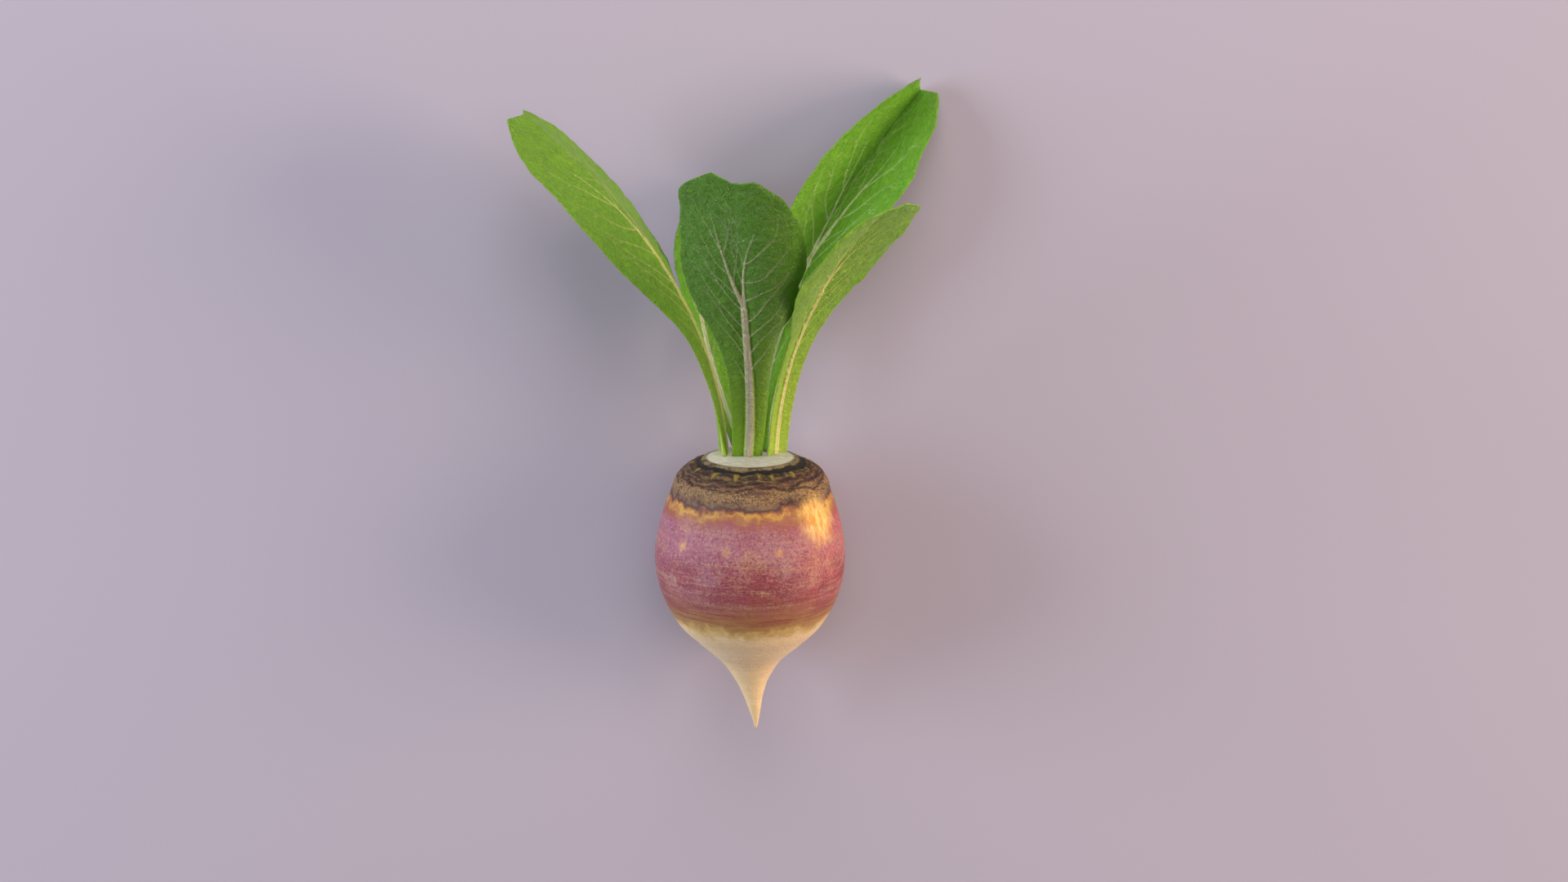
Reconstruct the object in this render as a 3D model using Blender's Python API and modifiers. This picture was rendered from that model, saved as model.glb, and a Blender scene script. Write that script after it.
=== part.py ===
"""A turnip as picked, with its five whole leaves, lying on its belly.

It is shaped upright in the plant's own frame and then laid down by one empty.
Plant frame: +Z along the root's axis towards the leaves, +X to the plant's right,
-Y towards the side that faces up once it lies down.
World frame: +Z up, +Y from the taproot towards the leaves, origin in the middle of
the small flat where the bulb rests.
"""
import math

import bmesh
import bpy
import numpy as np

MM = 0.001

# Lie of the plant: the crown end is propped up by the tips of the two back leaves.
TILT = math.radians(8.0)
BELLY_FLAT_DEPTH = 0.7 * MM

# Root: radius at heights along its axis, measured from the widest part of the bulb.
CROWN_HEIGHT = 40.1 * MM
CROWN_RADIUS = 18.7 * MM
ROOT_OUTLINE = (
    (20.3, 39.6),
    (26.4, 36.0),
    (31.2, 30.0),
    (35.0, 22.0),
    (38.4, 11.0),
    (40.0, 0.0),
    (39.1, -11.0),
    (35.6, -22.0),
    (29.7, -32.0),
    (21.3, -40.0),
    (13.5, -47.0),
    (8.4, -54.0),
    (4.7, -62.0),
    (2.2, -71.0),
)
TAPROOT_END = -79.0 * MM
OUTLINE_STEPS = 2
FINE_OUTLINE_STEPS = 50
TURN_STEPS = 40

# Leaf: half width along its length, both as a share of the length.
LEAF_OUTLINE = (
    (0.00, 0.040),
    (0.15, 0.045),
    (0.30, 0.054),
    (0.38, 0.067),
    (0.45, 0.087),
    (0.52, 0.119),
    (0.60, 0.151),
    (0.68, 0.169),
    (0.77, 0.172),
    (0.88, 0.154),
    (0.95, 0.125),
    (1.00, 0.070),
)
TIP_START = 0.80
TIP_NOTCH = 0.012
TIP_POINTS = 0.75
LENGTH_STEPS = 30
WIDTH_STEPS = 8
BLADE_THICKNESS = 1.0 * MM
MIDRIB_THICKNESS = 2.6 * MM
CROWN_GAP = 0.3 * MM
STALK_OVERLAP = 0.010
STRAIGHT = 1e-4

# The midrib's swelling fades out over this share of the half width, and of the length.
MIDRIB_SHARE_ACROSS = 0.33
MIDRIB_SHARE_ALONG = 0.90

# Cutters: the floor's, which gives the bulb its flat, and the one that trims the leaves' feet.
FLOOR_CUTTER_SIZE = (0.10, 0.10, 0.02)
TRIM_CUTTER_SIZE = (0.08, 0.08, 0.01)

# One leaf each: the midrib's four Bezier points in millimetres (right, front, up),
# its length, the compass bearing that its outer face looks to at the foot and at
# the tip (0 is the front, 90 the right), and for each half of the blade the roll
# towards the inner face at foot and tip and the further curl out to the edge.
LEAVES = {
    "front_leaf": {
        "midrib": ((-1.0, -2.7, 40.4), (2.6, 27.3, 86.9), (-1.9, 68.4, 122.7), (-6.1, 102.2, 174.5)),
        "length": 172.0,
        "facing": (8.0, -18.0),
        "left_half": (-12.0, 18.0, 20.0),
        "right_half": (-46.0, -28.0, 100.0),
    },
    "left_leaf": {
        "midrib": ((-9.8, -6.5, 40.4), (-12.9, -3.7, 83.2), (-30.6, 1.8, 135.7), (-95.7, -15.1, 183.5)),
        "length": 174.0,
        "facing": (-73.0, -86.0),
        "left_half": (-18.0, 18.0, 14.0),
        "right_half": (-24.0, -51.0, 0.0),
    },
    "right_leaf": {
        "midrib": ((9.5, -7.7, 40.4), (12.2, 8.5, 92.7), (27.1, 40.5, 138.3), (61.0, 81.5, 157.9)),
        "length": 165.0,
        "facing": (63.0, 20.0),
        "left_half": (-16.0, -53.0, 16.0),
        "right_half": (-39.0, 32.0, 7.0),
    },
    "back_right_leaf": {
        "midrib": ((4.8, -12.9, 40.4), (4.5, -29.4, 74.5), (21.3, -50.0, 126.5), (74.1, -65.9, 187.3)),
        "length": 176.0,
        "facing": (152.0, 172.0),
        "left_half": (37.0, 43.0, 6.0),
        "right_half": (38.0, 61.0, 18.0),
    },
    "back_left_leaf": {
        "midrib": ((-5.0, -13.6, 40.4), (-20.7, -27.0, 84.9), (-32.5, -41.8, 116.4), (-10.3, -59.6, 143.7)),
        "length": 120.0,
        "facing": (-156.0, -172.0),
        "left_half": (-3.0, 9.0, 11.0),
        "right_half": (39.0, 37.0, 13.0),
    },
}

ROOT_COLOUR = (0.36, 0.13, 0.15, 1.0)
LEAF_COLOUR = (0.10, 0.22, 0.03, 1.0)


def clear_scene():
    """Empty the scene without closing the file."""
    for item in list(bpy.data.objects):
        bpy.data.objects.remove(item, do_unlink=True)


def new_collection(name):
    collection = bpy.data.collections.new(name)
    bpy.context.scene.collection.children.link(collection)
    return collection


def plain_material(name, colour, roughness):
    material = bpy.data.materials.new(name)
    material.use_nodes = True
    shader = material.node_tree.nodes["Principled BSDF"]
    shader.inputs["Base Color"].default_value = colour
    shader.inputs["Roughness"].default_value = roughness
    shader.inputs["Metallic"].default_value = 0.0
    material.diffuse_color = colour
    return material


def catmull_rom(points, steps):
    """Points of a smooth curve through the given ones, with `steps` to each stretch."""
    padded = [points[0]] + list(points) + [points[-1]]
    curve = []
    for p0, p1, p2, p3 in zip(padded, padded[1:], padded[2:], padded[3:]):
        for step in range(steps):
            t = step / steps
            curve.append(tuple(
                0.5 * (2 * b + (c - a) * t + (2 * a - 5 * b + 4 * c - d) * t ** 2
                       + (3 * b - a - 3 * c + d) * t ** 3)
                for a, b, c, d in zip(p0, p1, p2, p3)
            ))
    curve.append(tuple(points[-1]))
    return curve


def root_profile(steps=OUTLINE_STEPS):
    """(radius, height) down the outer side, from the middle of the crown to the taproot's end."""
    outline = [(radius * MM, height * MM) for radius, height in ROOT_OUTLINE]
    side = catmull_rom([(CROWN_RADIUS, CROWN_HEIGHT)] + outline, steps)
    return [(0.0, CROWN_HEIGHT)] + side + [(0.0, TAPROOT_END)]


def lying_frame(collection):
    """An empty that lays the plant down, so that the bulb's lowest point is just under the origin."""
    along = math.sin(TILT)
    across = math.cos(TILT)
    profile = root_profile(FINE_OUTLINE_STEPS)
    lowest_radius, lowest_height = min(profile, key=lambda p: p[1] * along - p[0] * across)
    drop = lowest_radius * across - lowest_height * along
    back = lowest_height * across + lowest_radius * along
    empty = bpy.data.objects.new("lying_frame", None)
    empty.location = (0.0, -back, drop - BELLY_FLAT_DEPTH)
    empty.rotation_euler = (TILT - math.pi / 2, 0.0, 0.0)
    collection.objects.link(empty)
    return empty


def box_cutter(name, collection, size, centre, parent=None):
    mesh = bpy.data.meshes.new(name)
    shape = bmesh.new()
    bmesh.ops.create_cube(shape, size=1.0)
    bmesh.ops.scale(shape, vec=size, verts=shape.verts)
    bmesh.ops.translate(shape, vec=centre, verts=shape.verts)
    shape.to_mesh(mesh)
    shape.free()
    cutter = bpy.data.objects.new(name, mesh)
    cutter.parent = parent
    cutter.hide_render = True
    cutter.display_type = "WIRE"
    collection.objects.link(cutter)
    return cutter


def cut(item, cutter):
    boolean = item.modifiers.new("cut_" + cutter.name, "BOOLEAN")
    boolean.operation = "DIFFERENCE"
    boolean.solver = "EXACT"
    boolean.object = cutter


def make_root(collection, frame, floor_cutter):
    """Crown, bulb and taproot: one turned body with a small flat where it rests."""
    profile = root_profile()
    mesh = bpy.data.meshes.new("turnip_root")
    edges = [(i, i + 1) for i in range(len(profile) - 1)]
    mesh.from_pydata([(radius, 0.0, height) for radius, height in profile], edges, [])
    root = bpy.data.objects.new("turnip_root", mesh)
    root.parent = frame
    collection.objects.link(root)
    turn = root.modifiers.new("turn", "SCREW")
    turn.axis = "Z"
    turn.angle = 2 * math.pi
    turn.steps = TURN_STEPS
    turn.render_steps = TURN_STEPS
    turn.use_merge_vertices = True
    turn.merge_threshold = 0.1 * MM
    turn.use_smooth_shade = True
    cut(root, floor_cutter)
    mesh.materials.append(plain_material("root_skin", ROOT_COLOUR, 0.5))
    return root


def smoothstep(x):
    x = np.clip(x, 0.0, 1.0)
    return x * x * (3 - 2 * x)


def bezier(points, t):
    """Place and unit direction along a cubic Bezier."""
    p0, p1, p2, p3 = points
    t = t[..., None]
    u = 1 - t
    place = u ** 3 * p0 + 3 * u * u * t * p1 + 3 * u * t * t * p2 + t ** 3 * p3
    slope = u * u * (p1 - p0) + 2 * u * t * (p2 - p1) + t * t * (p3 - p2)
    return place, slope / np.linalg.norm(slope, axis=-1, keepdims=True)


def blade_place(leaf, along, across):
    """Places on a leaf's blade: along runs 0..1 foot to tip, across -1..1 edge to edge.

    The midrib is a Bezier. Each half of the blade leaves it at a roll angle and curls
    on as an arc, and its length across is the leaf's half width there.
    """
    points = [np.array((right, -front, up)) * MM for right, front, up in leaf["midrib"]]
    tip = smoothstep((along - TIP_START) / (1 - TIP_START))
    side = np.abs(across)
    notch = np.where(side < TIP_POINTS, 1 - side / TIP_POINTS, (side - TIP_POINTS) / (1 - TIP_POINTS))
    place, direction = bezier(points, along * (1 - TIP_NOTCH * tip * notch))

    bearing = np.radians(leaf["facing"][0] + (leaf["facing"][1] - leaf["facing"][0]) * along)
    outward = np.stack([np.sin(bearing), -np.cos(bearing), np.zeros_like(bearing)], axis=-1)
    outward = outward - direction * np.sum(outward * direction, axis=-1, keepdims=True)
    outward = outward / np.linalg.norm(outward, axis=-1, keepdims=True)
    sideways = np.cross(direction, outward)

    stations, half_widths = zip(*LEAF_OUTLINE)
    reach = np.interp(along, stations, half_widths) * leaf["length"] * MM
    foot_l, tip_l, curl_l = np.radians(leaf["left_half"])
    foot_r, tip_r, curl_r = np.radians(leaf["right_half"])
    roll = np.where(across < 0, foot_l + (tip_l - foot_l) * along, foot_r + (tip_r - foot_r) * along)
    curl = np.where(across < 0, curl_l, curl_r)
    curl = np.where(np.abs(curl) < STRAIGHT, STRAIGHT, curl)
    out = (np.sin(roll + curl * side) - np.sin(roll)) / curl * reach
    inward = (np.cos(roll) - np.cos(roll + curl * side)) / curl * reach
    return place + sideways * (np.sign(across) * out)[..., None] - outward * inward[..., None]


def make_leaf(name, leaf, collection, frame, crown_cutter):
    """Blade and midrib grew as one: a bent grid, given thickness that swells at the midrib."""
    shape = bmesh.new()
    bmesh.ops.create_grid(shape, x_segments=WIDTH_STEPS, y_segments=LENGTH_STEPS, size=1.0)
    shape.verts.ensure_lookup_table()
    flat = np.array([vertex.co for vertex in shape.verts])
    across = flat[:, 0]
    along = (flat[:, 1] + 1) / 2
    along = along - STALK_OVERLAP * (1 - along)
    places = blade_place(leaf, along, across)
    for vertex, place in zip(shape.verts, places):
        vertex.co = place
    mesh = bpy.data.meshes.new(name)
    shape.to_mesh(mesh)
    shape.free()
    mesh.shade_smooth()

    blade = bpy.data.objects.new(name, mesh)
    blade.parent = frame
    collection.objects.link(blade)
    group = blade.vertex_groups.new(name="midrib")
    weights = np.clip(1 - np.abs(across) / MIDRIB_SHARE_ACROSS, 0.0, 1.0)
    weights = weights * (1 - smoothstep(along / MIDRIB_SHARE_ALONG))
    for index, weight in enumerate(weights):
        group.add([index], float(weight), "REPLACE")
    thicken = blade.modifiers.new("thickness", "SOLIDIFY")
    thicken.thickness = MIDRIB_THICKNESS
    thicken.offset = 0.0
    thicken.vertex_group = "midrib"
    thicken.thickness_vertex_group = BLADE_THICKNESS / MIDRIB_THICKNESS
    cut(blade, crown_cutter)
    mesh.materials.append(plain_material(name + "_green", LEAF_COLOUR, 0.45))
    return blade


def build():
    clear_scene()
    parts = new_collection("turnip")
    cutters = new_collection("turnip_cutters")
    frame = lying_frame(parts)
    floor_centre = (0.0, 0.0, -FLOOR_CUTTER_SIZE[2] / 2)
    floor_cutter = box_cutter("floor_cutter", cutters, FLOOR_CUTTER_SIZE, floor_centre)
    trim_centre = (0.0, 0.0, CROWN_HEIGHT + CROWN_GAP - TRIM_CUTTER_SIZE[2] / 2)
    crown_cutter = box_cutter("crown_cutter", cutters, TRIM_CUTTER_SIZE, trim_centre, frame)
    make_root(parts, frame, floor_cutter)
    for name, leaf in LEAVES.items():
        make_leaf(name, leaf, parts, frame, crown_cutter)


build()
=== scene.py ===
import math

import bpy
import numpy as np
from mathutils import Euler, Matrix, Vector


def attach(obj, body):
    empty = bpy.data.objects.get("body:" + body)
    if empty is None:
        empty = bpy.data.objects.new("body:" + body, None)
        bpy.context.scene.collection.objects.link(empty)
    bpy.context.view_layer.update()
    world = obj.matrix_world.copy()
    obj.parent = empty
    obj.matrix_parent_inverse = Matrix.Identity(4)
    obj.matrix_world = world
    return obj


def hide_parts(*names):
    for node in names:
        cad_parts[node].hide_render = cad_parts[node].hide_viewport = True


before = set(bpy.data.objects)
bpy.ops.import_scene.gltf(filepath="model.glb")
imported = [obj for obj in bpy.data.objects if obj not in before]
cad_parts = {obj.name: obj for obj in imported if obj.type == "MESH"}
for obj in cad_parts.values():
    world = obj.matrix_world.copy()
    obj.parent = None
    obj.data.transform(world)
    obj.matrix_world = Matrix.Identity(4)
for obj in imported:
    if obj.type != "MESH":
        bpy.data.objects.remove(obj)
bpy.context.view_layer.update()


# ---------------------------------------------------------------- how the plant lies
# The turnip lies on its belly with its crown end propped up by the tips of the two back
# leaves. Every piece is shaped upright, +Z along the root's axis, -Y to the side that
# faces up once it lies, and is then laid down.
MM = 0.001
TILT = math.radians(8.0)
BELLY_FLAT_DEPTH = 0.7 * MM
CROWN_HEIGHT = 40.1
CROWN_RADIUS = 18.7
TAPROOT_END = -79.0
ROOT_OUTLINE = (
    (20.3, 39.6),
    (26.4, 36.0),
    (31.2, 30.0),
    (35.0, 22.0),
    (38.4, 11.0),
    (40.0, 0.0),
    (39.1, -11.0),
    (35.6, -22.0),
    (29.7, -32.0),
    (21.3, -40.0),
    (13.5, -47.0),
    (8.4, -54.0),
    (4.7, -62.0),
    (2.2, -71.0),
)


def smooth_curve(points, steps):
    """Catmull-Rom curve through the points: each stretch is a cubic whose end slopes are
    half the chord between the neighbours on both sides."""
    points = np.asarray(points, dtype=float)
    padded = np.concatenate([points[:1], points, points[-1:]])
    a, b, c, d = (padded[k:len(padded) - 3 + k, None] for k in range(4))
    t = (np.arange(steps) / steps)[None, :, None]
    bends = (2 * a - 5 * b + 4 * c - d) * t ** 2 + (3 * b - a - 3 * c + d) * t ** 3
    curve = 0.5 * (2 * b + (c - a) * t + bends)
    return np.concatenate([curve.reshape(-1, points.shape[1]), points[-1:]])


side = smooth_curve(((CROWN_RADIUS, CROWN_HEIGHT),) + ROOT_OUTLINE, 50) * MM
reach = side[:, 0] * math.cos(TILT) - side[:, 1] * math.sin(TILT)
lowest = side[np.argmax(reach)]
lying_place = Vector((
    0.0,
    -(lowest[1] * math.cos(TILT) + lowest[0] * math.sin(TILT)),
    reach.max() - BELLY_FLAT_DEPTH,
))
lying_turn = Euler((TILT - math.pi / 2, 0.0, 0.0))


def lay_down(places):
    """World places of points given upright: turned about X onto the belly, then lifted so
    that the flat of the belly meets the floor, where anything lower is pressed flat."""
    turned = places @ np.array(lying_turn.to_matrix()).T + np.array(lying_place)
    turned[..., 2] = np.maximum(turned[..., 2], 0.0)
    return turned


# ------------------------------------------------------------------------------- root
# Crown, bulb and taproot grew as one body: firm cream flesh under a thin skin, purple
# where it stood out of the ground, with a corky collar of old leaf scars round a bare
# crown. It is a turned outline whose surface is then worked with layers and wrinkles.
AROUND = 420
DOWN = 226
DISC_STEPS = 19
TAPROOT_BEND = 2.2


def speckle(places, size, seed):
    """Value noise, -1 to 1: random numbers at the corners of cubes of that size, blended
    inside each cube by smooth steps along its three sides."""
    cell = places / size
    corner = np.floor(cell).astype(np.int64)
    part = cell - corner
    blend = part * part * (3 - 2 * part)
    total = np.zeros(places.shape[:-1])
    for step in ((i, j, k) for i in (0, 1) for j in (0, 1) for k in (0, 1)):
        x, y, z = np.moveaxis(corner + np.array(step), -1, 0)
        stirred = (x * 374761393 + y * 668265263 + z * 1440662683 + seed * 1274126177) & 0xFFFFFFFF
        stirred = ((stirred ^ (stirred >> 13)) * 1103515245) & 0xFFFFFFFF
        value = (stirred ^ (stirred >> 16)) / 2 ** 31 - 1
        weight = np.prod(np.where(step, blend, 1 - blend), axis=-1)
        total = total + value * weight
    return total


def roughness_field(places, size, octaves, seed):
    """Sum of value noises, each half the size and just over half the height of the last."""
    total = np.zeros(places.shape[:-1])
    for octave in range(octaves):
        total = total + speckle(places, size / 2 ** octave, seed + octave) * 0.55 ** octave
    return total


def rise(x, low, high):
    """0 below low, 1 above high, and a smooth step between."""
    x = np.clip((x - low) / (high - low), 0.0, 1.0)
    return x * x * (3 - 2 * x)


def closed_grid(rows, columns):
    """Faces of a grid whose columns join round, with a single vertex at each end."""
    ring = np.arange(columns)
    nxt = (ring + 1) % columns
    first = 1 + np.arange(rows - 1)[:, None] * columns
    quads = np.stack([first + ring, first + columns + ring, first + columns + nxt, first + nxt], axis=-1)
    last = 1 + rows * columns
    top = np.stack([np.zeros(columns, int), 1 + ring, 1 + nxt], axis=-1)
    bottom = np.stack([np.full(columns, last), last - columns + nxt, last - columns + ring], axis=-1)
    return quads.reshape(-1, 4), np.concatenate([top, bottom])


def piece_from(name, vertices, *face_groups):
    """A smooth-shaded object at the origin whose mesh has these vertices and faces."""
    mesh = bpy.data.meshes.new(name)
    sizes = np.concatenate([np.full(len(group), group.shape[1]) for group in face_groups])
    corners = np.concatenate([group.ravel() for group in face_groups])
    mesh.vertices.add(len(vertices))
    mesh.vertices.foreach_set("co", np.ascontiguousarray(vertices, dtype=np.float32).ravel())
    mesh.loops.add(len(corners))
    mesh.loops.foreach_set("vertex_index", corners.astype(np.int32))
    mesh.polygons.add(len(sizes))
    mesh.polygons.foreach_set("loop_start", np.concatenate([[0], np.cumsum(sizes)[:-1]]).astype(np.int32))
    mesh.update(calc_edges=True)
    mesh.validate()
    mesh.shade_smooth()
    piece = bpy.data.objects.new(name, mesh)
    bpy.context.scene.collection.objects.link(piece)
    return piece


def mark(piece, name, values):
    """One number for every vertex, for the materials to read."""
    attribute = piece.data.attributes.new(name, "FLOAT", "POINT")
    attribute.data.foreach_set("value", np.ascontiguousarray(values, dtype=np.float32).ravel())


def root_surface():
    """Radius and height follow the outline at even steps along it; round the axis the
    surface is pushed in and out by the collar's layers, its scars and fine wrinkles."""
    outline = smooth_curve(((CROWN_RADIUS, CROWN_HEIGHT),) + ROOT_OUTLINE + ((0.5, TAPROOT_END + 1),), 60)
    disc_radius = np.linspace(1.0, CROWN_RADIUS, DISC_STEPS + 1)[:-1]
    disc = np.stack([disc_radius, np.full(DISC_STEPS, CROWN_HEIGHT)], axis=-1)
    outline = np.concatenate([disc, outline])
    steps = np.hypot(*np.diff(outline, axis=0).T)
    run = np.concatenate([[0.0], np.cumsum(steps)])
    even = np.linspace(0.0, run[-1], DOWN)
    radius = np.interp(even, run, outline[:, 0])[:, None]
    height = np.interp(even, run, outline[:, 1])[:, None]
    slope = np.gradient(np.stack([radius[:, 0], height[:, 0]], axis=-1), axis=0)
    slope = slope / np.linalg.norm(slope, axis=-1, keepdims=True)
    out_radial, out_height = -slope[:, 1][:, None], slope[:, 0][:, None]

    angle = (np.arange(AROUND) / AROUND * 2 * math.pi)[None, :]
    turn = np.stack([np.sin(angle), -np.cos(angle)], axis=-1)
    level = np.broadcast_to(height, (DOWN, AROUND))[..., None]
    places = np.concatenate([radius[..., None] * turn, level], axis=-1)

    # The bulb isn't quite round, and dents slightly between its faint ribs.
    push = 0.35 * roughness_field(places, 34.0, 2, 3) * rise(radius, 4.0, 24.0)
    ribs = np.sin(9 * angle + 2 * np.sin(2 * angle))
    push = push + 0.16 * ribs * rise(height, 4.0, 26.0) * rise(radius, 19, 24)

    # Round the crown: a mottled rim, a dark sunken ring, then thin overlapping layers left
    # by old leaves, each one wavy and a little proud of the one above it.
    on_side = rise(radius, CROWN_RADIUS - 0.4, CROWN_RADIUS + 0.4) * (height > -60)
    wave = roughness_field(places * (1.0, 1.0, 0.1), 9.0, 2, 11)
    ripple = roughness_field(places * (1.0, 1.0, 0.3), 3.2, 2, 23)
    thick = 0.62 + 0.25 * wave + 0.30 * np.sin(angle) ** 2
    ring = np.exp(-((height - 38.7 - 0.55 * ripple) / thick) ** 2) * on_side
    push = push - 0.55 * ring
    edges = np.zeros_like(ring)
    # A painted highlight is marked on the lip just below each layer's edge.
    lip_highlights = np.zeros_like(ring)
    for start, bend in ((37.2, 0.35), (36.0, 0.6), (34.9, 0.8), (33.8, 1.0), (32.6, 1.1)):
        line = start + bend * (1.5 * wave + 0.45 * np.sin(5 * angle + start * 2.3)) + 0.45 * ripple
        push = push + 0.24 * rise(line - height, -0.12, 0.12) * rise(height, 24.0, 32.0) * on_side
        edges = np.maximum(edges, np.exp(-((height - line) / 0.34) ** 2) * on_side)
        lip_highlights = np.maximum(lip_highlights, np.exp(-((height - line + 0.75) / 0.38) ** 2) * on_side)
    bark = rise(height, 25.0, 28.5) * rise(-height, -36.5, -33.0)
    crackle = np.abs(roughness_field(places * (1.0, 1.0, 1.6), 1.9, 2, 31))
    push = push + (0.3 * crackle - 0.1) * bark

    # Small pointed scars of shed leaves stand just under the dark ring.
    scars = np.zeros_like(ring)
    for bearing, size in ((-62, 1.1), (-36, 1.2), (-13, 1.3), (9, 0.8), (21, 1.2), (44, 1.2), (71, 0.9),
                          (104, 1.1), (133, 0.8), (158, 1.2), (-95, 0.9), (-121, 1.3), (-152, 1.0)):
        sideways = np.angle(np.exp(1j * (angle - math.radians(bearing)))) * 24.0
        drop = 37.9 - height
        inside = 1.1 * size - np.abs(sideways) - 0.6 * np.abs(drop - 0.2)
        scars = np.maximum(scars, rise(inside, -0.1, 0.45) * rise(drop, -0.4, 0.1) * on_side)
    push = push + 0.28 * scars

    # The skin has hair-fine creases round the bulb, and faint rings down the taproot.
    streak = roughness_field(places * (1.0, 1.0, 7.0), 7.0, 3, 41)
    on_skin = rise(-height, -27.0, -22.0) * rise(radius, 1.5, 6.0)
    push = push + 0.055 * streak * on_skin
    rings = roughness_field(places * (0.25, 0.25, 1.0), 2.6, 2, 53)
    push = push + 0.10 * rings * rise(-height, 36.0, 50.0) * rise(radius, 0.8, 3.0)
    disc_rings = np.sin(radius * 3.1 + 1.5 * wave) * (1 - rise(radius, 17.5, 18.6)) * (height > 39)
    push = push + 0.045 * disc_rings

    radius_out = radius + push * out_radial
    lift = push * out_height
    bend = TAPROOT_BEND * rise(-height, 44.0, 79.0) ** 1.5
    places = np.stack([radius_out * turn[..., 0] + bend, radius_out * turn[..., 1], height + lift], axis=-1)
    poles = np.array([[0.0, 0.0, CROWN_HEIGHT], [TAPROOT_BEND, 0.0, TAPROOT_END]])
    vertices = np.concatenate([poles[:1], places.reshape(-1, 3), poles[1:]]) * MM

    def whole(values):
        return np.concatenate([[0.0], np.broadcast_to(values, (DOWN, AROUND)).ravel(), [0.0]])

    quads, caps = closed_grid(DOWN, AROUND)
    piece = piece_from("turnip_root_skin", lay_down(vertices), quads, caps)
    mark(piece, "dark_ring", whole(ring))
    mark(piece, "layer_edge", whole(edges))
    mark(piece, "layer_lip_highlight", whole(lip_highlights))
    mark(piece, "leaf_scar", whole(scars))
    mark(piece, "on_disc", whole((1 - rise(radius, CROWN_RADIUS - 0.7, CROWN_RADIUS - 0.1)) * (height > 39)))
    return piece


root = root_surface()


def tint(red, green, blue):
    """Linear colour from everyday 0 to 255 values."""
    shares = np.array([red, green, blue]) / 255
    linear = np.where(shares <= 0.04045, shares / 12.92, ((shares + 0.055) / 1.055) ** 2.4)
    return (*linear.tolist(), 1.0)


def add(tree, kind, inputs=None, **settings):
    """A node with its settings and inputs: an input is a plain value, or another node's
    output to be linked."""
    node = tree.nodes.new("ShaderNode" + kind)
    for key, value in settings.items():
        setattr(node, key, value)
    for key, value in (inputs or {}).items():
        if isinstance(value, bpy.types.NodeSocket):
            tree.links.new(value, node.inputs[key])
        else:
            node.inputs[key].default_value = value
    return node


def sums(tree, operation, first, second, third=0.0):
    """One Math node's result."""
    node = add(tree, "Math", {0: first, 1: second, 2: third}, operation=operation)
    return node.outputs[0]


def mixed(tree, share, below, above, blend="MIX"):
    """Colour below, turning into colour above as the share goes from 0 to 1."""
    node = add(tree, "Mix", {"Factor": share, 6: below, 7: above}, data_type="RGBA", blend_type=blend)
    return node.outputs[2]


def times(tree, first, second):
    """The two values multiplied."""
    return sums(tree, "MULTIPLY", first, second)


def wash(tree, below, share, strength, above):
    """The colour above laid over the one below, as strongly as share times strength."""
    return mixed(tree, times(tree, share, strength), below, above)


def stretch(tree, value, low, high, out_low=0.0, out_high=1.0):
    """Smoothly maps low..high onto out_low..out_high and holds it outside."""
    node = add(
        tree,
        "MapRange",
        {"Value": value, "From Min": low, "From Max": high, "To Min": out_low, "To Max": out_high},
        interpolation_type="SMOOTHSTEP",
        clamp=True,
    )
    return node.outputs[0]


def cloud(tree, vector, scale, detail=4.0, roughness=0.6, distortion=0.0):
    """Fractal noise, 0 to 1 with most of it near 0.5; scale is in cells to the unit."""
    inputs = {"Vector": vector, "Scale": scale, "Detail": detail}
    inputs.update({"Roughness": roughness, "Distortion": distortion})
    return add(tree, "TexNoise", inputs).outputs[0]


def warped(tree, vector, scale, amounts):
    """The vector pushed about by coloured noise, up to half of amounts each way."""
    push = add(tree, "TexNoise", {"Vector": vector, "Scale": scale, "Detail": 3.0}).outputs["Color"]
    push = add(tree, "VectorMath", {0: push, 1: (0.5, 0.5, 0.5)}, operation="SUBTRACT").outputs[0]
    return add(tree, "VectorMath", {0: push, 1: amounts, 2: vector}, operation="MULTIPLY_ADD").outputs[0]


def cell_edges(tree, vector, scale, dimensions="3D"):
    """Distance to the nearest edge between irregular cells."""
    settings = {"feature": "DISTANCE_TO_EDGE", "voronoi_dimensions": dimensions}
    return add(tree, "TexVoronoi", {"Vector": vector, "Scale": scale}, **settings).outputs["Distance"]


def scaled(tree, vector, amounts):
    """The vector with each of its parts multiplied by its own amount."""
    return add(tree, "VectorMath", {0: vector, 1: amounts}, operation="MULTIPLY").outputs[0]


def read_mark(tree, name):
    """The numbers that a piece carries under this name."""
    return add(tree, "Attribute", attribute_name=name).outputs["Fac"]


def new_finish(name):
    """A new material, with its node tree and its shader."""
    material = bpy.data.materials.new(name)
    material.use_nodes = True
    tree = material.node_tree
    shader = tree.nodes["Principled BSDF"]
    return material, tree, shader


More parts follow.
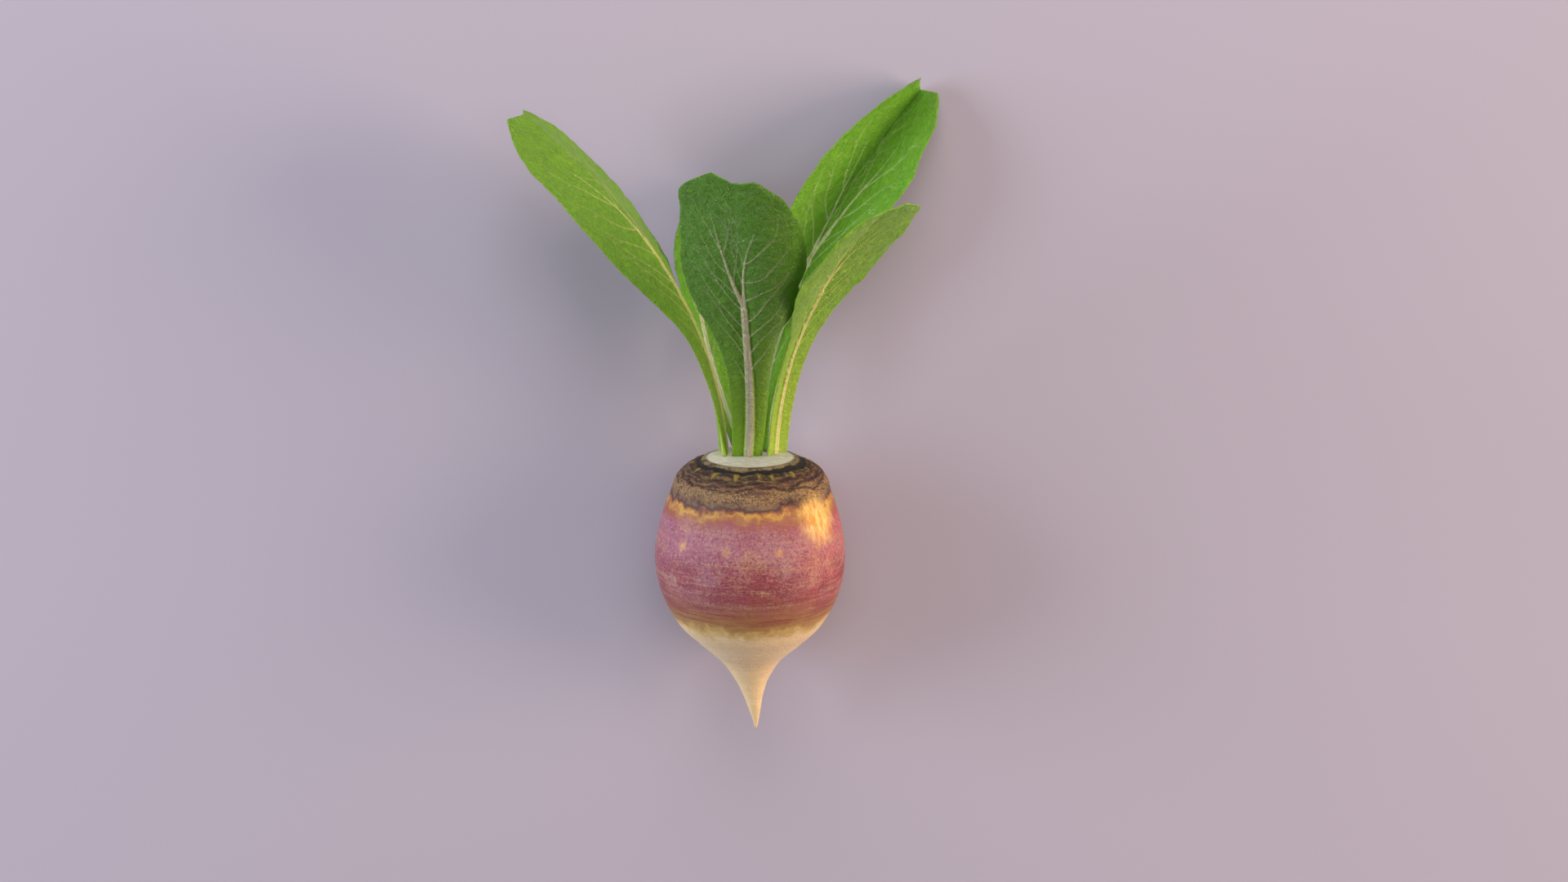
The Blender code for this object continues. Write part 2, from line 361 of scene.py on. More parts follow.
def root_finish():
    """Bands of colour by height along the root's axis, their edges broken by noise, with
    the collar's dark layers, its scars and one bright yellow patch laid over them. Sizes
    are in millimetres, in the upright plant's own directions."""
    material, tree, shader = new_finish("turnip_skin")
    world = add(tree, "TexCoord").outputs["Object"]
    upright = add(
        tree,
        "Mapping",
        {"Vector": world, "Location": tuple(lying_place), "Rotation": tuple(lying_turn)},
        vector_type="TEXTURE",
    ).outputs[0]
    plant = add(tree, "VectorMath", {0: upright, "Scale": 1000.0}, operation="SCALE").outputs[0]
    height = add(tree, "SeparateXYZ", {0: plant}).outputs["Z"]

    fine = cloud(tree, plant, 0.9, 6.0, 0.7)
    broad = cloud(tree, plant, 0.055, 3.0, 0.55)
    middling = cloud(tree, plant, 0.22, 5.0, 0.65)
    streaks = cloud(tree, scaled(tree, plant, (0.10, 0.10, 1.5)), 1.0, 6.0, 0.7)
    upright_streaks = cloud(tree, scaled(tree, plant, (0.5, 0.5, 0.12)), 1.0, 6.0, 0.75)
    long_streaks = cloud(tree, scaled(tree, plant, (0.035, 0.035, 0.6)), 1.0, 5.0, 0.65)

    skewed = warped(tree, plant, 0.35, (3.0, 3.0, 3.0))

    # Height, shifted up and down so that each band has a ragged edge.
    shift = times(tree, sums(tree, "SUBTRACT", middling, 0.5), 7.0)
    shift = sums(tree, "MULTIPLY_ADD", sums(tree, "SUBTRACT", broad, 0.5), 10.0, shift)
    ragged = sums(tree, "ADD", height, shift)

    bands = (
        (-79.0, (232, 200, 150)),
        (-50.0, (240, 208, 160)),
        (-40.0, (244, 214, 170)),
        (-31.0, (236, 204, 156)),
        (-28.0, (208, 172, 106)),
        (-25.5, (172, 132, 74)),
        (-21.0, (158, 106, 68)),
        (-15.0, (144, 78, 66)),
        (-7.0, (130, 44, 64)),
        (2.0, (142, 56, 76)),
        (9.0, (156, 84, 104)),
        (16.0, (150, 76, 98)),
        (19.2, (152, 78, 72)),
        (21.8, (166, 110, 62)),
        (23.4, (204, 154, 60)),
        (24.7, (132, 78, 42)),
        (25.8, (66, 30, 34)),
        (27.6, (122, 92, 68)),
        (31.5, (158, 122, 82)),
        (33.2, (112, 76, 56)),
        (36.0, (92, 60, 44)),
        (38.0, (74, 52, 36)),
        (40.0, (104, 86, 54)),
    )
    low, high = bands[0][0], bands[-1][0]
    place = add(tree, "MapRange", {"Value": ragged, "From Min": low, "From Max": high}).outputs[0]
    ramp = add(tree, "ValToRGB", {0: place})
    stops = ramp.color_ramp.elements
    for band in bands[2:]:
        stops.new(0.5)
    for stop, (level, colour) in zip(stops, bands):
        stop.position = (level - low) / (high - low)
        stop.color = tint(*colour)
    colour = ramp.outputs[0]

    # The purple is blotched lighter and darker, dusted with beige and scratched round.
    purple = times(tree, stretch(tree, height, -22.0, -9.0), stretch(tree, height, 22.0, 15.0))
    # Painted light: the left flank is washed paler and bluer and the right flank paler and warmer, as the
    # cool and warm side lamps light them, so the middle of the bulb stays darker.
    side = add(tree, "SeparateXYZ", {0: plant}).outputs["X"]
    cool_side_light = times(tree, stretch(tree, side, 4.0, -34.0), purple)
    colour = wash(tree, colour, cool_side_light, 0.40, tint(158, 90, 126))
    warm_side_light = times(tree, stretch(tree, side, 12.0, 36.0), purple)
    colour = wash(tree, colour, warm_side_light, 0.5, tint(206, 92, 96))
    pale = times(tree, stretch(tree, cloud(tree, plant, 0.07, 6.0, 0.75), 0.46, 0.68), purple)
    colour = wash(tree, colour, pale, 0.5, tint(170, 124, 142))
    ochre = times(tree, stretch(tree, cloud(tree, plant, 0.085, 7.0, 0.8), 0.49, 0.66), purple)
    colour = wash(tree, colour, ochre, 0.6, tint(186, 138, 104))
    low_middle = times(tree, stretch(tree, ragged, -16.0, -9.0), stretch(tree, ragged, 6.0, 0.0))
    deep = stretch(tree, cloud(tree, plant, 0.10, 5.0, 0.65), 0.46, 0.60)
    deep = times(tree, deep, sums(tree, "MULTIPLY_ADD", low_middle, 0.75, 0.25))
    deep = times(tree, deep, purple)
    colour = wash(tree, colour, deep, 0.75, tint(134, 34, 60))
    fibres = times(tree, stretch(tree, long_streaks, 0.50, 0.66), purple)
    colour = wash(tree, colour, fibres, 0.5, tint(176, 132, 96))
    dust = times(tree, stretch(tree, fine, 0.50, 0.68), purple)
    colour = wash(tree, colour, dust, 0.40, tint(206, 160, 136))
    grime = times(tree, stretch(tree, fine, 0.50, 0.34), purple)
    colour = wash(tree, colour, grime, 0.7, tint(74, 30, 44))
    skin_net = times(tree, stretch(tree, cell_edges(tree, skewed, 0.85), 0.09, 0.01), purple)
    colour = wash(tree, colour, skin_net, 0.16, tint(210, 170, 140))
    scratch = times(tree, stretch(tree, streaks, 0.60, 0.72), stretch(tree, height, 26.0, 20.0))
    colour = wash(tree, colour, scratch, 0.45, tint(224, 196, 168))
    dark_streak = stretch(tree, long_streaks, 0.54, 0.40)
    dark_streak = times(tree, dark_streak, stretch(tree, height, -28.0, -20.0))
    dark_streak = times(tree, dark_streak, stretch(tree, height, 0.0, -10.0))
    colour = wash(tree, colour, dark_streak, 0.7, tint(138, 58, 62))

    # The yellow band is broken by red-brown, more so near the middle of the front.
    near_band = times(tree, stretch(tree, ragged, 18.0, 20.5), stretch(tree, ragged, 25.6, 24.4))
    rust = times(tree, near_band, stretch(tree, cloud(tree, plant, 0.13, 6.0, 0.7), 0.44, 0.60))
    colour = wash(tree, colour, rust, 0.8, tint(142, 76, 52))

    # A yellow patch on the right shoulder, and a few pale flecks lower down.
    for centre, size, strength in (
        ((27.5, -21.5, 19.5), 14.5, 0.9),
        ((-9.0, -38.0, 8.0), 3.4, 0.45),
        ((-5.0, -38.5, 7.0), 3.0, 0.35),
        ((-28.0, -27.0, 8.5), 3.8, 0.5),
        ((12.0, -37.0, 8.5), 2.6, 0.35),
    ):
        away = add(tree, "VectorMath", {0: skewed, 1: centre}, operation="DISTANCE").outputs["Value"]
        away = sums(tree, "MULTIPLY_ADD", sums(tree, "SUBTRACT", middling, 0.5), 9.0, away)
        patch = stretch(tree, sums(tree, "MULTIPLY_ADD", fine, 3.0, away), size + 1.5, size * 0.35)
        grained = stretch(tree, upright_streaks, 0.36, 0.68)
        yolk = mixed(tree, grained, tint(222, 150, 50), tint(255, 224, 136))
        colour = wash(tree, colour, patch, strength, yolk)

    # Collar: dark layer edges, olive scars, the black ring and the mottled rim.
    collar = stretch(tree, height, 25.5, 28.5)
    pit = times(tree, stretch(tree, cell_edges(tree, skewed, 0.95), 0.15, 0.02), collar)
    pit = times(tree, pit, stretch(tree, cloud(tree, plant, 0.5, 3.0, 0.6), 0.38, 0.56, 0.25, 1.0))
    # Painted highlight: a lighter tan strip just below each layer's edge.
    lip_highlight = times(tree, read_mark(tree, "layer_lip_highlight"), stretch(tree, middling, 0.40, 0.60))
    colour = wash(tree, colour, lip_highlight, 0.6, tint(168, 136, 84))
    colour = wash(tree, colour, pit, 0.85, tint(44, 28, 24))
    cork = times(tree, collar, stretch(tree, height, 36.0, 32.0, 0.25, 1.0))
    light_grain = times(tree, stretch(tree, fine, 0.52, 0.66), cork)
    colour = wash(tree, colour, light_grain, 0.55, tint(190, 162, 120))
    colour = wash(tree, colour, read_mark(tree, "layer_edge"), 0.95, tint(44, 12, 18))
    olive = times(tree, stretch(tree, height, 34.0, 36.0), stretch(tree, middling, 0.50, 0.62))
    colour = wash(tree, colour, olive, 0.35, tint(138, 118, 54))
    colour = wash(tree, colour, read_mark(tree, "leaf_scar"), 0.8, tint(158, 136, 48))
    rim = times(tree, stretch(tree, height, 38.9, 39.5), stretch(tree, middling, 0.42, 0.56))
    colour = wash(tree, colour, rim, 0.7, tint(152, 132, 92))
    colour = mixed(tree, stretch(tree, read_mark(tree, "dark_ring"), 0.25, 0.7), colour, tint(20, 16, 14))
    disc = read_mark(tree, "on_disc")
    grain = stretch(tree, cloud(tree, scaled(tree, plant, (0.5, 1.0, 1.0)), 0.5, 4.0, 0.6), 0.35, 0.7)
    flesh = mixed(tree, grain, tint(214, 208, 192), tint(240, 236, 222))
    colour = mixed(tree, disc, colour, flesh)
    tree.links.new(colour, shader.inputs["Base Color"])

    shine = sums(tree, "MULTIPLY_ADD", fine, 0.25, 0.34)
    shine = sums(tree, "MULTIPLY_ADD", collar, 0.25, shine)
    tree.links.new(shine, shader.inputs["Roughness"])
    shader.inputs["Specular IOR Level"].default_value = 0.45
    shader.inputs["Subsurface Weight"].default_value = 0.08
    shader.inputs["Subsurface Radius"].default_value = (1.0, 0.4, 0.25)
    shader.inputs["Subsurface Scale"].default_value = 0.003

    grit = sums(tree, "MULTIPLY_ADD", streaks, 0.8, fine)
    grit = sums(tree, "MULTIPLY_ADD", pit, -0.8, grit)
    bump = add(tree, "Bump", {"Height": grit, "Distance": 0.0005, "Strength": 0.7})
    tree.links.new(bump.outputs[0], shader.inputs["Normal"])
    return material


root.data.materials.append(root_finish())
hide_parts("turnip_root")
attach(root, "root")


# ----------------------------------------------------------------------------- leaves
# Five whole leaves stand in a close ring on the crown. Each is one growth: a pale stalk
# that runs up the blade as the midrib, forks past the middle and feeds the side veins,
# with the soft blade drawn out along it from foot to tip.
LEAF_OUTLINE = (
    (0.00, 0.040),
    (0.15, 0.045),
    (0.30, 0.054),
    (0.38, 0.067),
    (0.45, 0.087),
    (0.52, 0.119),
    (0.60, 0.151),
    (0.68, 0.169),
    (0.77, 0.172),
    (0.88, 0.154),
    (0.95, 0.125),
    (1.00, 0.070),
)
TIP_START = 0.80
TIP_NOTCH = 0.012
TIP_POINTS = 0.75
FOOT = -0.012
ROWS = 372
COLUMNS = 130
FINEST_VEIN = 0.42
STRAIGHT = 1e-4
FORK = 0.575
VEIN_STEPS = 14
FULL_LENGTH = 172.0
UV_MM = 100.0

# In millimetres and degrees. Midrib points are (right, front, up). Facing is the outer
# face's bearing at the foot and at the tip. Each half has its roll at the foot and at the
# tip, then its curl. A flat_tip of 1 would take the roll and curl out of the tip.
LEAVES = {
    "front_leaf": {
        "midrib": ((-1.0, -2.7, 40.4), (2.6, 27.3, 86.9), (-1.9, 68.4, 122.7), (-6.1, 102.2, 174.5)),
        "length": 172.0,
        "facing": (8.0, -18.0),
        "left_half": (-12.0, 18.0, 20.0),
        "right_half": (-46.0, -28.0, 100.0),
        "flat_tip": 0.6,
        # The front leaf's greens are darker than the other leaves': painted shade on it.
        "outer_green": (76, 122, 16),
        "inner_green": (96, 150, 34),
        "young_green": (114, 156, 24),
        "rib": (190, 180, 146),
    },
    "left_leaf": {
        "midrib": ((-9.8, -6.5, 40.4), (-12.9, -3.7, 83.2), (-30.6, 1.8, 135.7), (-95.7, -15.1, 183.5)),
        "length": 174.0,
        "facing": (-73.0, -86.0),
        "left_half": (-18.0, 18.0, 14.0),
        "right_half": (-24.0, -51.0, 0.0),
        "flat_tip": 0.0,
        "outer_green": (104, 146, 26),
        "inner_green": (112, 156, 30),
        "young_green": (134, 170, 34),
        "rib": (206, 204, 120),
    },
    "right_leaf": {
        "midrib": ((9.5, -7.7, 40.4), (12.2, 8.5, 92.7), (32.0, 40.5, 131.0), (55.0, 80.0, 159.5)),
        "length": 165.0,
        "facing": (63.0, 20.0),
        "left_half": (-16.0, -44.0, 16.0),
        "right_half": (-39.0, 22.0, 7.0),
        "flat_tip": 0.0,
        "outer_green": (122, 166, 38),
        "inner_green": (118, 158, 44),
        "young_green": (160, 190, 58),
        "rib": (228, 222, 136),
    },
    "back_right_leaf": {
        "midrib": ((4.8, -12.9, 40.4), (4.5, -29.4, 74.5), (21.3, -50.0, 126.5), (74.1, -65.9, 187.3)),
        "length": 176.0,
        "facing": (152.0, 172.0),
        "left_half": (37.0, 43.0, 6.0),
        "right_half": (38.0, 61.0, 18.0),
        "flat_tip": 0.0,
        "outer_green": (84, 126, 30),
        "inner_green": (112, 166, 44),
        "young_green": (132, 180, 50),
        "rib": (228, 234, 186),
    },
    "back_left_leaf": {
        "midrib": ((-5.0, -13.6, 40.4), (-20.7, -27.0, 84.9), (-32.5, -41.8, 116.4), (-10.3, -59.6, 143.7)),
        "length": 120.0,
        "facing": (-156.0, -172.0),
        "left_half": (-3.0, 9.0, 11.0),
        "right_half": (39.0, 37.0, 13.0),
        "flat_tip": 0.0,
        "outer_green": (84, 126, 30),
        "inner_green": (92, 150, 34),
        "young_green": (120, 168, 40),
        "rib": (190, 196, 160),
    },
}


def blade_place(leaf, along, across):
    """Places on a blade in millimetres: along runs 0..1 from foot to tip and across -1..1
    from edge to edge. The midrib is a cubic Bezier; each half of the blade leaves it at a
    roll angle and curls on as an arc as long as the leaf is wide there, with slow lobes
    along its edge."""
    points = [np.array((right, -front, up)) for right, front, up in leaf["midrib"]]
    tip = rise(along, TIP_START, 1.0)
    off = np.abs(across)
    notch = np.where(off < TIP_POINTS, 1 - off / TIP_POINTS, (off - TIP_POINTS) / (1 - TIP_POINTS))
    t = (along * (1 - TIP_NOTCH * tip * notch))[..., None]
    u = 1 - t
    place = u ** 3 * points[0] + 3 * u * u * t * points[1] + 3 * u * t * t * points[2] + t ** 3 * points[3]
    direction = u * u * (points[1] - points[0]) + 2 * u * t * (points[2] - points[1])
    direction = direction + t * t * (points[3] - points[2])
    direction = direction / np.linalg.norm(direction, axis=-1, keepdims=True)

    foot_facing, tip_facing = leaf["facing"]
    bearing = np.radians(foot_facing + (tip_facing - foot_facing) * along)
    outward = np.stack([np.sin(bearing), -np.cos(bearing), np.zeros_like(bearing)], axis=-1)
    outward = outward - direction * np.sum(outward * direction, axis=-1, keepdims=True)
    outward = outward / np.linalg.norm(outward, axis=-1, keepdims=True)
    sideways = np.cross(direction, outward)

    edge_walk = np.stack([along * 11, np.sign(across) * 5.3, 0 * along + leaf["length"]], axis=-1)
    lobes = 0.085 * speckle(edge_walk, 1.0, 5) * rise(along, 0.3, 0.5) * (1 - rise(along, 0.93, 1.0))
    width = half_width(leaf, along) * (1 + lobes)
    foot_l, tip_l, curl_l = np.radians(leaf["left_half"])
    foot_r, tip_r, curl_r = np.radians(leaf["right_half"])
    roll = np.where(across < 0, foot_l + (tip_l - foot_l) * along, foot_r + (tip_r - foot_r) * along)
    curl = np.where(across < 0, curl_l, curl_r)
    curl = np.where(np.abs(curl) < STRAIGHT, STRAIGHT, curl)
    calm = 1 - leaf["flat_tip"] * tip
    roll, curl = roll * calm, curl * calm
    out = (np.sin(roll + curl * off) - np.sin(roll)) / curl * width
    inward = (np.cos(roll) - np.cos(roll + curl * off)) / curl * width
    return place + sideways * (np.sign(across) * out)[..., None] - outward * inward[..., None]


def half_width(leaf, along):
    """Half width in millimetres: a smooth curve through the outline's points."""
    curve = smooth_curve(LEAF_OUTLINE, 20)
    return np.interp(along, curve[:, 0], curve[:, 1]) * leaf["length"]


def vein_lines(seed):
    """The leaf's veins as bent lines in shares of its length and half width: (points,
    half thickness at the start and at the end, in millimetres)."""
    rng = np.random.default_rng(seed)
    t = np.linspace(0.0, 1.0, VEIN_STEPS + 1)
    lines = []
    trunk = np.stack([0.02 * np.sin(t * 5 + seed), FOOT + (FORK - FOOT) * t], axis=-1)
    left_arm = np.stack([trunk[-1, 0] - 0.42 * t ** 0.9, FORK + 0.30 * t], axis=-1)
    right_arm = np.stack([trunk[-1, 0] + 0.04 * t + 0.26 * t ** 3, FORK - 0.01 + 0.29 * t], axis=-1)
    lines.append((trunk, 2.10, 1.60))
    lines.append((left_arm, 1.15, 0.20))
    lines.append((right_arm, 1.10, 0.20))
    for sign, starts in ((-1, (0.27, 0.37, 0.43, 0.50, 0.55)), (1, (0.33, 0.41, 0.46, 0.53))):
        for start in starts:
            start = start + rng.uniform(-0.012, 0.012)
            length = 0.10 + 0.13 * rise(start, 0.2, 0.5) + rng.uniform(-0.015, 0.015)
            across = sign * rng.uniform(0.66, 0.86) * t ** (0.85 + rng.uniform(-0.1, 0.1))
            wander = 0.006 * np.sin(t * rng.uniform(7, 12) + rng.uniform(0, 6))
            lines.append((np.stack([across, start + length * t ** 1.15 + wander * t], axis=-1), 0.40, 0.06))
    for arm, sign in ((left_arm, -1), (right_arm, 1)):
        for part in (0.15, 0.42, 0.70):
            foot = arm[int(part * VEIN_STEPS)]
            room = 0.80 - abs(foot[0])
            across = foot[0] + sign * room * t ** 0.9
            up = foot[1] + (0.13 + 0.04 * part) * t ** 1.1 + 0.005 * np.sin(t * 9 + foot[1] * 40)
            lines.append((np.stack([across, up], axis=-1), 0.36, 0.06))
        for part in (0.30, 0.62):
            foot = arm[int(part * VEIN_STEPS)]
            across = foot[0] - sign * (0.16 + 0.10 * part) * np.sin(t * 1.4)
            up = foot[1] + (0.30 - 0.14 * part) * t
            lines.append((np.stack([across, up], axis=-1), 0.26, 0.06))
    branches = []
    for points, thick, thin in lines[3:]:
        for part, side_sign in ((0.45, 1), (0.62, -1), (0.80, 1)):
            foot = points[int(part * VEIN_STEPS)]
            heading = points[int(part * VEIN_STEPS) + 1] - foot
            heading = heading / max(np.linalg.norm(heading), 1e-6)
            swing = side_sign * rng.uniform(0.5, 0.8)
            turned = np.array((
                heading[0] * math.cos(swing) - heading[1] * math.sin(swing) * 3,
                heading[1] * math.cos(swing) + heading[0] * math.sin(swing) / 6,
            ))
            size = rng.uniform(0.05, 0.09)
            reach_across = np.clip(foot[0] + turned[0] * size * 2.2 * t, -0.95, 0.95)
            reach_along = foot[1] + abs(turned[1]) * size * t
            branches.append((np.stack([reach_across, reach_along], axis=-1), 0.20, 0.07))
    return lines + branches


def vein_field(leaf, along, across, seed):
    """For every point of the blade: how strongly a vein shows there, 1 on a thick one's line
    and less on a thin one's, and how far it swells. The distance to each short stretch of
    each line is measured on the blade laid flat, in millimetres."""
    width = half_width(leaf, along)
    flat = np.stack([across * width, along * leaf["length"]], axis=-1)
    inside = np.zeros(along.shape)
    swell = np.zeros(along.shape)
    share = leaf["length"] / FULL_LENGTH
    for points, thick, thin in vein_lines(seed):
        wide = half_width(leaf, points[:, 1])
        line = np.stack([points[:, 0] * wide, points[:, 1] * leaf["length"]], axis=-1)
        low = line.min(axis=0) - 3.0
        high = line.max(axis=0) + 3.0
        near = np.all((flat > low) & (flat < high), axis=-1)
        spots = flat[near][:, None]
        start, stop = line[:-1], line[1:]
        leg = stop - start
        t = np.clip(np.sum((spots - start) * leg, axis=-1) / np.sum(leg * leg, axis=-1), 0, 1)
        away = np.linalg.norm(spots - start - t[..., None] * leg, axis=-1)
        best = away.argmin(axis=1)
        pick = np.arange(len(best))
        run = (best + t[pick, best]) / len(leg)
        half = (thick + (thin - thick) * run) * share
        drawn = np.maximum(half, FINEST_VEIN)
        depth = (1 - rise(away[pick, best], drawn * 0.55, drawn * 1.25)) * np.minimum(half / FINEST_VEIN, 1.0)
        body = half * np.sqrt(np.clip(1 - (away[pick, best] / (drawn * 1.15)) ** 2, 0, 1))
        inside[near] = np.maximum(inside[near], depth)
        swell[near] = np.maximum(swell[near], body)
    return inside, swell


def leaf_surface(name, leaf, seed):
    """Two faces of one grid, a blade's thickness apart and joined round the edge. Veins
    swell on the outer face and much less on the inner one; between them the blade
    puckers, and it ripples more towards its edge."""
    along = np.linspace(FOOT, 1.0, ROWS)[:, None] * np.ones((1, COLUMNS))
    across = np.linspace(-1.0, 1.0, COLUMNS)[None, :] * np.ones((ROWS, 1))
    middle = blade_place(leaf, along, across)
    down = np.gradient(middle, axis=0)
    over = np.gradient(middle, axis=1)
    outer = np.cross(over, down)
    outer = outer / np.linalg.norm(outer, axis=-1, keepdims=True)
    inside, swell = vein_field(leaf, along, across, seed)

    width = half_width(leaf, along)
    flat = np.stack([across * width, along * leaf["length"], np.full_like(along, 7.0 * seed)], axis=-1)
    edge = rise(np.abs(across), 0.55, 1.0) * rise(along, 0.35, 0.6)
    ripple = 0.9 * roughness_field(flat, 21.0, 2, seed + 60) * edge
    pucker = 0.34 * roughness_field(flat, 4.5, 3, seed + 70) * rise(along, 0.1, 0.5)
    pucker = pucker * (1 - 0.7 * inside)
    middle = middle + outer * (ripple + pucker)[..., None]

    thin = 0.26 + 0.18 * (1 - rise(along, 0.0, 0.6))
    thin = thin * (1 - 0.55 * rise(np.abs(across), 0.93, 1.0))
    outer_face = middle + outer * (thin + 0.75 * swell)[..., None]
    inner_face = middle - outer * (thin + 0.18 * swell - 0.05 * rise(swell, 0.0, 0.3))[..., None]
    outer_face, inner_face = outer_face * MM, inner_face * MM
    vertices = lay_down(np.concatenate([outer_face.reshape(-1, 3), inner_face.reshape(-1, 3)]))

    index = np.arange(ROWS * COLUMNS).reshape(ROWS, COLUMNS)
    quads = np.stack([index[:-1, :-1], index[:-1, 1:], index[1:, 1:], index[1:, :-1]], axis=-1)
    quads = quads.reshape(-1, 4)
    under = ROWS * COLUMNS
    back = quads[:, ::-1] + under
    border = np.concatenate([index[0, :-1], index[:-1, -1], index[-1, :0:-1], index[:0:-1, 0]])
    following = np.roll(border, -1)
    rim = np.stack([border, border + under, following + under, following], axis=-1)
    piece = piece_from(name + "_blade", vertices, quads, back, rim)

    uv = piece.data.uv_layers.new(name="blade_mm")
    spread = np.stack([across * width / UV_MM + 0.5, along * leaf["length"] / UV_MM], axis=-1)
    spread = np.concatenate([spread.reshape(-1, 2), spread.reshape(-1, 2)])
    corner = np.empty(len(piece.data.loops), dtype=np.int32)
    piece.data.loops.foreach_get("vertex_index", corner)
    uv.data.foreach_set("uv", spread[corner].astype(np.float32).ravel())
    for label, values in (("vein", inside), ("swell", swell), ("along", along)):
        mark(piece, label, np.concatenate([values.ravel(), values.ravel()]))
    mark(piece, "outer_face", np.repeat([1.0, 0.0], under))
    return piece


def leaf_finish(name, leaf):
    """Green that is yellower at the foot and darker at the tip, mottled between the veins;
    pale veins from the vein marks; and a fine net of small veins from cells on the
    blade's own flat map, both as colour and as relief."""
    material, tree, shader = new_finish(name)
    flat = scaled(tree, add(tree, "UVMap", uv_map="blade_mm").outputs[0], (UV_MM, UV_MM, UV_MM))
    along = read_mark(tree, "along")
    vein = read_mark(tree, "vein")
    swell = read_mark(tree, "swell")
    outer_face = read_mark(tree, "outer_face")

    blotch = cloud(tree, flat, 0.07, 4.0, 0.6)
    mottle = cloud(tree, flat, 0.45, 5.0, 0.7)
    colour = mixed(tree, outer_face, tint(*leaf["inner_green"]), tint(*leaf["outer_green"]))
    young = sums(tree, "MULTIPLY_ADD", sums(tree, "SUBTRACT", blotch, 0.5), 0.5, along)
    colour = mixed(tree, stretch(tree, young, 0.62, 0.05), colour, tint(*leaf["young_green"]))
    dark = mixed(tree, 1.0, colour, (0.55, 0.62, 0.5, 1.0), blend="MULTIPLY")
    colour = wash(tree, colour, stretch(tree, mottle, 0.44, 0.72), 0.5, dark)
    bright = mixed(tree, 1.0, colour, (1.45, 1.35, 1.1, 1.0), blend="MULTIPLY")
    colour = wash(tree, colour, stretch(tree, blotch, 0.50, 0.70), 0.5, bright)

    # Net veins: the edges of small cells, bent by noise and fading in and out.
    bent = scaled(tree, warped(tree, flat, 0.28, (5.0, 5.0, 0.0)), (1.0, 0.62, 1.0))
    nets = []
    for size, line in ((0.20, 0.030), (0.52, 0.055)):
        nets.append(stretch(tree, cell_edges(tree, bent, size, "2D"), line, line * 0.2))
    coarse_net, fine_net = nets
    patchy = stretch(tree, cloud(tree, flat, 0.16, 2.0, 0.5), 0.42, 0.62)
    fine_net = times(tree, fine_net, times(tree, patchy, 0.7))
    net = sums(tree, "MAXIMUM", coarse_net, fine_net)
    net = times(tree, net, stretch(tree, along, 0.04, 0.3))
    net = times(tree, net, sums(tree, "MULTIPLY_ADD", patchy, 0.5, 0.5))
    net_colour = mixed(tree, 0.5, colour, tint(176, 200, 120))
    colour = wash(tree, colour, net, 0.5, net_colour)
    # Painted shade: the blade is darkened in small noise-shaped patches, as shade in fine creases.
    crease_shade = stretch(tree, cloud(tree, flat, 0.9, 4.0, 0.6), 0.47, 0.36)
    colour = wash(tree, colour, crease_shade, 0.35, dark)

    rib_grain = cloud(tree, scaled(tree, flat, (1.6, 0.08, 1.0)), 1.0, 3.0, 0.5)
    rib = wash(tree, tint(*leaf["rib"]), stretch(tree, rib_grain, 0.4, 0.7), 0.35, tint(150, 156, 110))
    thick = stretch(tree, swell, 0.08, 0.85, 0.26, 1.0)
    shown = times(tree, stretch(tree, vein, 0.05, 0.55), thick)
    colour = mixed(tree, shown, colour, rib)
    tree.links.new(colour, shader.inputs["Base Color"])

    shine = sums(tree, "MULTIPLY_ADD", mottle, 0.22, 0.34)
    tree.links.new(shine, shader.inputs["Roughness"])
    shader.inputs["Specular IOR Level"].default_value = 0.4
    shader.inputs["Subsurface Weight"].default_value = 0.28
    shader.inputs["Subsurface Radius"].default_value = (0.7, 1.0, 0.12)
    shader.inputs["Subsurface Scale"].default_value = 0.003

    quilt = cloud(tree, bent, 0.62, 3.0, 0.55, 1.2)
    grain = sums(tree, "MULTIPLY_ADD", quilt, 2.2, sums(tree, "MULTIPLY_ADD", mottle, 0.8, net))
    bump = add(tree, "Bump", {"Height": grain, "Distance": 0.0007, "Strength": 0.8})
    tree.links.new(bump.outputs[0], shader.inputs["Normal"])
    return material


for count, (name, leaf) in enumerate(LEAVES.items()):
    blade = leaf_surface(name, leaf, count + 1)
    blade.data.materials.append(leaf_finish(name + "_green", leaf))
    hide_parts(name)
    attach(blade, "root")


# ------------------------------------------------------------------------------ floor
# A wide pale floor of matt painted board, which the turnip lies on.
FLOOR_HALF = 6.0
corners = np.array([(-1, -1, 0), (1, -1, 0), (1, 1, 0), (-1, 1, 0)]) * FLOOR_HALF
floor = piece_from("floor", corners, np.array([[0, 1, 2, 3]]))
paint, _, paint_shader = new_finish("floor_paint")
paint_shader.inputs["Base Color"].default_value = tint(172, 163, 178)
paint_shader.inputs["Roughness"].default_value = 0.8
paint_shader.inputs["Specular IOR Level"].default_value = 0.2
floor.data.materials.append(paint)


# ------------------------------------------------------------------ lights and camera
# Soft studio light: a warm panel on the right, a cool one on the left, broad ones beyond
# the leaves and overhead, and a dim sky that fills the shade. The camera looks down on
# the plant from a little towards its leaves.
LIT_SPOT = (0.0, 0.05, 0.05)


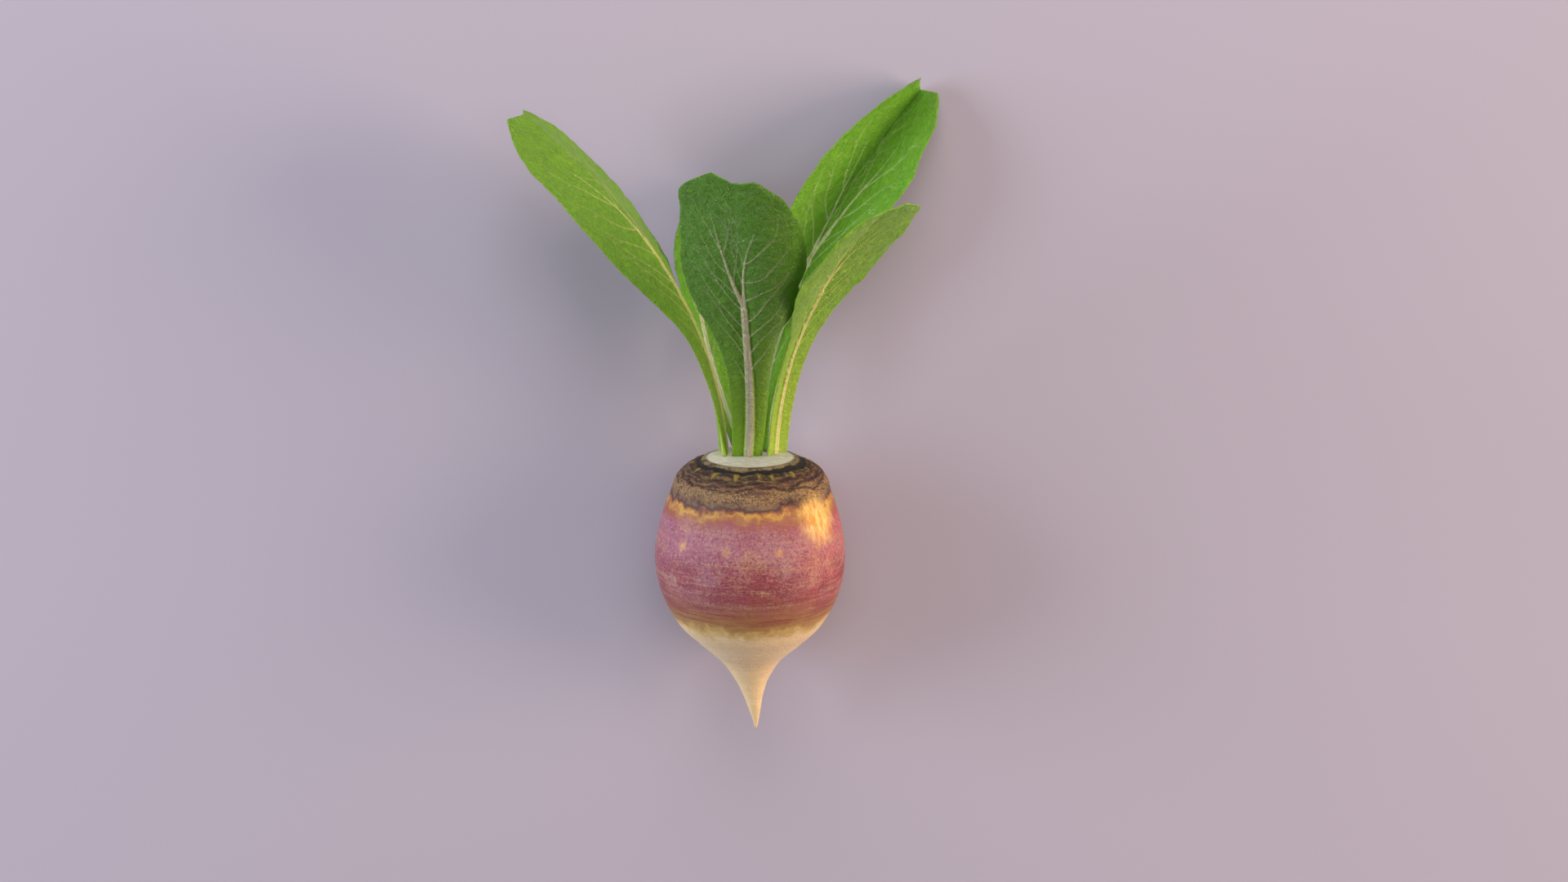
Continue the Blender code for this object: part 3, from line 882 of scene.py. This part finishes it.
def soft_panel(name, place, size, power, colour):
    """A round area light at that place, turned to the middle of the plant."""
    light = bpy.data.lights.new(name, "AREA")
    light.shape = "DISK"
    light.size = size
    light.energy = power
    light.color = colour
    lamp = bpy.data.objects.new(name, light)
    lamp.location = place
    lamp.rotation_euler = (Vector(LIT_SPOT) - Vector(place)).to_track_quat("-Z", "Y").to_euler()
    bpy.context.scene.collection.objects.link(lamp)


bulb_centre = np.array(lying_place)
soft_panel("warm_panel", (1.70, 0.12, 0.66), 1.2, 36.0, (1.0, 0.80, 0.62))
soft_panel("cool_panel", (-1.70, 0.25, 0.68), 1.2, 33.0, (0.84, 0.92, 1.0))
soft_panel("far_panel", (0.0, 1.5, 1.1), 1.2, 12.0, (1.0, 0.97, 0.93))
soft_panel("overhead_panel", (0.25, 0.45, 1.7), 1.4, 8.0, (1.0, 0.98, 0.94))

sky = bpy.data.worlds.new("dim_sky")
sky.use_nodes = True
sky.node_tree.nodes["Background"].inputs["Color"].default_value = (0.80, 0.76, 0.82, 1.0)
sky.node_tree.nodes["Background"].inputs["Strength"].default_value = 0.20
bpy.context.scene.world = sky
bpy.context.scene.view_settings.view_transform = "Standard"

LENS = 85.0
SENSOR = 36.0
LOOK_DOWN = math.radians(13.5)
FRAME_WIDTH = 0.659
AIM_RIGHT = 0.0141
AIM_UP = 0.0457
towards = np.array(lying_turn.to_matrix()) @ np.array((0.0, -math.cos(LOOK_DOWN), math.sin(LOOK_DOWN)))
upwards = np.array(lying_turn.to_matrix()) @ np.array((0.0, math.sin(LOOK_DOWN), math.cos(LOOK_DOWN)))
aim = bulb_centre + AIM_RIGHT * np.array((1.0, 0.0, 0.0)) + AIM_UP * upwards
distance = FRAME_WIDTH * LENS / SENSOR
lens = bpy.data.cameras.new("camera")
lens.lens = LENS
lens.sensor_width = SENSOR
lens.clip_end = 30.0
camera = bpy.data.objects.new("camera", lens)
turn = Matrix((np.array((1.0, 0.0, 0.0)), upwards, towards)).transposed()
camera.matrix_world = Matrix.Translation(Vector(aim + towards * distance)) @ turn.to_4x4()
bpy.context.scene.collection.objects.link(camera)
bpy.context.scene.camera = camera
